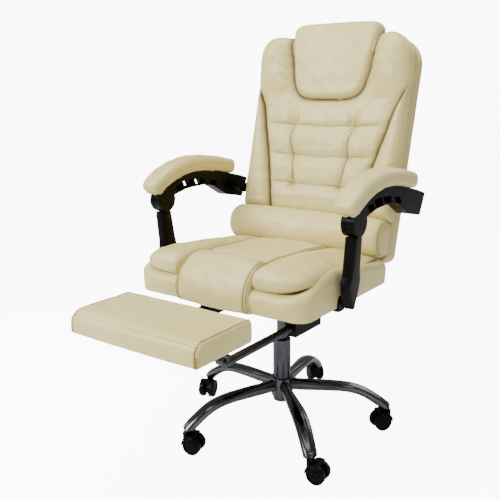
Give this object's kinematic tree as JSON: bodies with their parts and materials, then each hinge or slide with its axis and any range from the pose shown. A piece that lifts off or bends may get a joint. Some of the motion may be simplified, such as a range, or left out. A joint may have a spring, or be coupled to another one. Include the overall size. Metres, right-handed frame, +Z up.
{
  "type": "reclining office chair with footrest",
  "caption": "High-back reclining office chair with padded seat, tufted back, headrest, lumbar roll, linked armrests, pull-out folding footrest, gas lift and castered star base.",
  "frame": {"origin": "point on the floor under the axis of the gas column", "axes": "+Z up along the column, the chair faces -Y, +X is the sitter's left"},
  "size_m": [0.66, 0.9244, 1.1247],
  "materials": {
    "leather_cream": "soft satin artificial leather",
    "leather_shell": "satin artificial leather",
    "black_plastic": "satin",
    "black_steel": "semi-gloss powder coat",
    "gunmetal": "satin metallic",
    "rail_grey": "satin powder coat",
    "chrome": "polished",
    "zinc": "zinc plated",
    "nylon": "semi-gloss",
    "wheel_pu": "satin",
    "plywood": "sanded",
    "brass": "turned"
  },
  "bodies": {
    "base": {"base_hub": "gunmetal", "base_leg_1": "gunmetal", "base_leg_2": "gunmetal", "base_leg_3": "gunmetal", "base_leg_4": "gunmetal", "base_leg_5": "gunmetal", "column_tube": "black_steel", "column_bush": "nylon"},
    "gas_rod": {"gas_rod": "chrome"},
    "seat": {"gas_cylinder": "black_steel", "seat_mechanism": "black_steel", "seat_plate": "black_steel", "seat_board": "plywood", "seat_cushion": "leather_cream", "seat_centre_panel": "leather_cream", "seat_bolster_left": "leather_cream", "seat_bolster_right": "leather_cream", "seat_hinge_brackets": "black_steel", "recline_pins": "zinc", "arm_foot_brackets": "black_steel", "footrest_guides": "black_steel"},
    "height_lever": {"height_lever": "black_plastic"},
    "gas_button": {"gas_button": "brass"},
    "recline_lever": {"recline_lever": "black_plastic"},
    "back": {"back_hinge_bars": "black_steel", "back_board": "plywood", "back_cushion": "leather_cream", "back_shell": "leather_shell", "headrest_cushion": "leather_cream", "lumbar_cushion": "leather_cream", "arm_rear_brackets": "black_steel"},
    "upright_left": {"arm_upright_left": "black_plastic"},
    "upright_right": {"arm_upright_right": "black_plastic"},
    "arm_left": {"arm_frame_left": "black_plastic", "arm_pad_left": "leather_cream", "arm_pivot_bolt_left": "black_steel"},
    "arm_right": {"arm_frame_right": "black_plastic", "arm_pad_right": "leather_cream", "arm_pivot_bolt_right": "black_steel"},
    "footrest_frame": {"footrest_rail_left": "rail_grey", "footrest_rail_right": "rail_grey", "footrest_crossbar": "rail_grey"},
    "footrest": {"footrest_hinge": "black_steel", "footrest_board": "plywood", "footrest_cushion": "leather_cream"},
    "caster_1": {"caster_stem_1": "zinc", "caster_yoke_1": "nylon"},
    "wheels_1": {"caster_wheels_1": "wheel_pu"},
    "caster_2": {"caster_stem_2": "zinc", "caster_yoke_2": "nylon"},
    "wheels_2": {"caster_wheels_2": "wheel_pu"},
    "caster_3": {"caster_stem_3": "zinc", "caster_yoke_3": "nylon"},
    "wheels_3": {"caster_wheels_3": "wheel_pu"},
    "caster_4": {"caster_stem_4": "zinc", "caster_yoke_4": "nylon"},
    "wheels_4": {"caster_wheels_4": "wheel_pu"},
    "caster_5": {"caster_stem_5": "zinc", "caster_yoke_5": "nylon"},
    "wheels_5": {"caster_wheels_5": "wheel_pu"}
  },
  "joints": [
    {"name": "swivel", "type": "hinge", "parent": "base", "child": "gas_rod", "pos_m": [0, 0, 0.17], "axis": [0, 0, 1], "continuous": true},
    {"name": "gas_lift", "type": "slide", "parent": "gas_rod", "child": "seat", "axis": [0, 0, 1], "range_m": [-0.085, 0]},
    {"name": "recline", "type": "hinge", "parent": "seat", "child": "back", "pos_m": [0, 0.158, 0.456], "axis": [-1, 0, 0], "range_deg": [0, 40]},
    {"name": "upright_left_pivot", "type": "hinge", "parent": "seat", "child": "upright_left", "pos_m": [0.283, -0.135, 0.452], "axis": [-1, 0, 0], "range_deg": [0, 40]},
    {"name": "arm_left_pivot", "type": "hinge", "parent": "upright_left", "child": "arm_left", "pos_m": [0.297, -0.143, 0.646], "axis": [-1, 0, 0], "range_deg": [-40, 0]},
    {"name": "upright_right_pivot", "type": "hinge", "parent": "seat", "child": "upright_right", "pos_m": [-0.283, -0.135, 0.452], "axis": [-1, 0, 0], "range_deg": [0, 40]},
    {"name": "arm_right_pivot", "type": "hinge", "parent": "upright_right", "child": "arm_right", "pos_m": [-0.297, -0.143, 0.646], "axis": [-1, 0, 0], "range_deg": [-40, 0]},
    {"name": "height_lever_twist", "type": "hinge", "parent": "seat", "child": "height_lever", "pos_m": [-0.2, -0.024, 0.383], "axis": [-1, 0, 0], "range_deg": [0, 7], "stiffness_Nm_per_rad": 4},
    {"name": "gas_button_press", "type": "slide", "parent": "seat", "child": "gas_button", "axis": [0, 0, 1], "range_m": [-0.003, 0]},
    {"name": "recline_lever_twist", "type": "hinge", "parent": "seat", "child": "recline_lever", "pos_m": [-0.2, 0.06, 0.412], "axis": [-1, 0, 0], "range_deg": [0, 15], "stiffness_Nm_per_rad": 2},
    {"name": "footrest_slide", "type": "slide", "parent": "seat", "child": "footrest_frame", "axis": [0, 1, 0], "range_m": [0, 0.15]},
    {"name": "footrest_flip", "type": "hinge", "parent": "footrest_frame", "child": "footrest", "pos_m": [0, -0.432, 0.377], "axis": [1, 0, 0], "range_deg": [0, 180]},
    {"name": "caster_1_swivel", "type": "hinge", "parent": "base", "child": "caster_1", "pos_m": [-0.2962, 0.0327, 0.05], "axis": [0, 0, 1], "continuous": true},
    {"name": "caster_1_roll", "type": "hinge", "parent": "caster_1", "child": "wheels_1", "pos_m": [-0.28971, 0.01273, 0.025], "axis": [0.9511, 0.309, 0], "continuous": true},
    {"name": "caster_2_swivel", "type": "hinge", "parent": "base", "child": "caster_2", "pos_m": [-0.12263, -0.2716, 0.05], "axis": [0, 0, 1], "continuous": true},
    {"name": "caster_2_roll", "type": "hinge", "parent": "caster_2", "child": "wheels_2", "pos_m": [-0.10235, -0.26616, 0.025], "axis": [-0.2588, 0.9659, 0], "continuous": true},
    {"name": "caster_3_swivel", "type": "hinge", "parent": "base", "child": "caster_3", "pos_m": [0.22041, -0.20056, 0.05], "axis": [0, 0, 1], "continuous": true},
    {"name": "caster_3_roll", "type": "hinge", "parent": "caster_3", "child": "wheels_3", "pos_m": [0.24133, -0.19873, 0.025], "axis": [-0.0872, 0.9962, 0], "continuous": true},
    {"name": "caster_4_swivel", "type": "hinge", "parent": "base", "child": "caster_4", "pos_m": [0.25885, 0.14765, 0.05], "axis": [0, 0, 1], "continuous": true},
    {"name": "caster_4_roll", "type": "hinge", "parent": "caster_4", "child": "wheels_4", "pos_m": [0.24772, 0.12984, 0.025], "axis": [0.848, -0.5299, 0], "continuous": true},
    {"name": "caster_5_swivel", "type": "hinge", "parent": "base", "child": "caster_5", "pos_m": [-0.06043, 0.29181, 0.05], "axis": [0, 0, 1], "continuous": true},
    {"name": "caster_5_roll", "type": "hinge", "parent": "caster_5", "child": "wheels_5", "pos_m": [-0.07675, 0.30502, 0.025], "axis": [-0.6293, -0.7771, 0], "continuous": true}
  ],
  "couplings": [
    {"joint": "upright_left_pivot", "follows": "recline", "ratio": 1},
    {"joint": "arm_left_pivot", "follows": "recline", "ratio": -1},
    {"joint": "upright_right_pivot", "follows": "recline", "ratio": 1},
    {"joint": "arm_right_pivot", "follows": "recline", "ratio": -1},
    {"joint": "gas_button_press", "follows": "height_lever_twist", "m_per_rad": -0.02455},
    {"joint": "footrest_slide", "follows": "footrest_flip", "m_per_rad": 0.04774}
  ]
}
